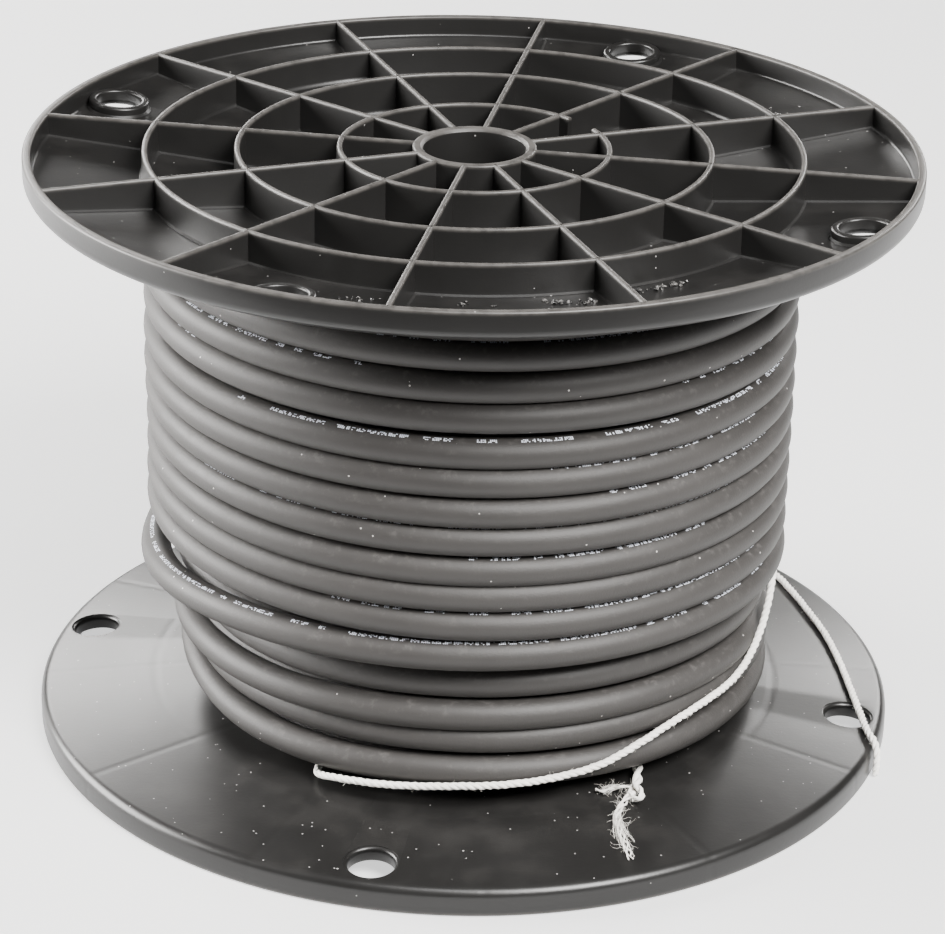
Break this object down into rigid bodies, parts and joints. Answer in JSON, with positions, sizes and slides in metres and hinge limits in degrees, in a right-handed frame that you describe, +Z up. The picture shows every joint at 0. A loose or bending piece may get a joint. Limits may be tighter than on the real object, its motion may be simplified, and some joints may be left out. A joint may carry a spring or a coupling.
{
  "type": "multiconductor cable spool",
  "caption": "Black multiconductor cable wound on a 12 inch ribbed plastic spool, its end tied down with cotton twine.",
  "frame": {"origin": "centre of the underside of the lower flange, on the floor that it stands on", "axes": "+Z up along the bore's axis; -Y towards the side where the twine's frayed tail shows"},
  "size_m": [0.3046, 0.3046, 0.2104],
  "materials": {
    "flange_plastic": "satin moulded polystyrene, black",
    "drum_plastic": "matte",
    "cable_jacket": "satin black PVC jacket",
    "twine_cotton": "soft twisted cotton"
  },
  "bodies": {
    "root": {"flange_lower": "flange_plastic", "flange_upper": "flange_plastic", "drum_tube": "drum_plastic", "cable_winding": "cable_jacket", "tie_twine": "twine_cotton", "twine_tail": "twine_cotton"}
  },
  "joints": []
}
